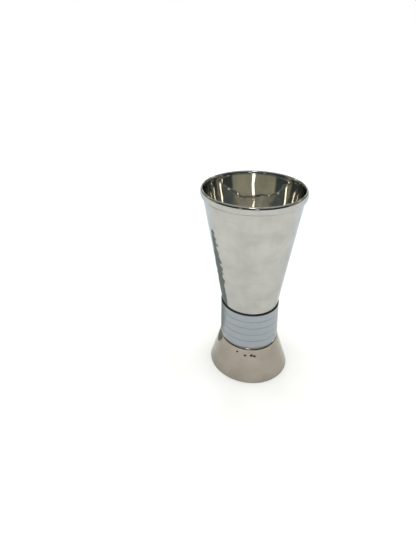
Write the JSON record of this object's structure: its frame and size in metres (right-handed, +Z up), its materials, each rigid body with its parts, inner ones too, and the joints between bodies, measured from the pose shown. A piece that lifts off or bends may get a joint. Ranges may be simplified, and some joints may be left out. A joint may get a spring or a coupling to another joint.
{
  "type": "kiddush cup",
  "caption": "Footed ceremonial wine cup: hammered steel cone bowl with a rolled rim, a waist of stacked anodised rings under a dark washer, and a flared hammered foot.",
  "frame": {"origin": "centre of the foot's underside, on the surface that the cup stands on", "axes": "+Z up the cup's axis towards the rim; X and Y are alike, because the cup is round"},
  "size_m": [0.072, 0.072, 0.14],
  "materials": {
    "bowl_steel": "stainless steel, hammered and polished",
    "foot_steel": "stainless steel, hammered and polished",
    "anodised_rings": "turned aluminium, satin anodised, natural blue-grey",
    "washer": "matt black"
  },
  "bodies": {
    "root": {"foot": "foot_steel", "ring_1": "anodised_rings", "ring_2": "anodised_rings", "ring_3": "anodised_rings", "ring_4": "anodised_rings", "ring_5": "anodised_rings", "washer": "washer", "bowl": "bowl_steel"}
  },
  "joints": []
}
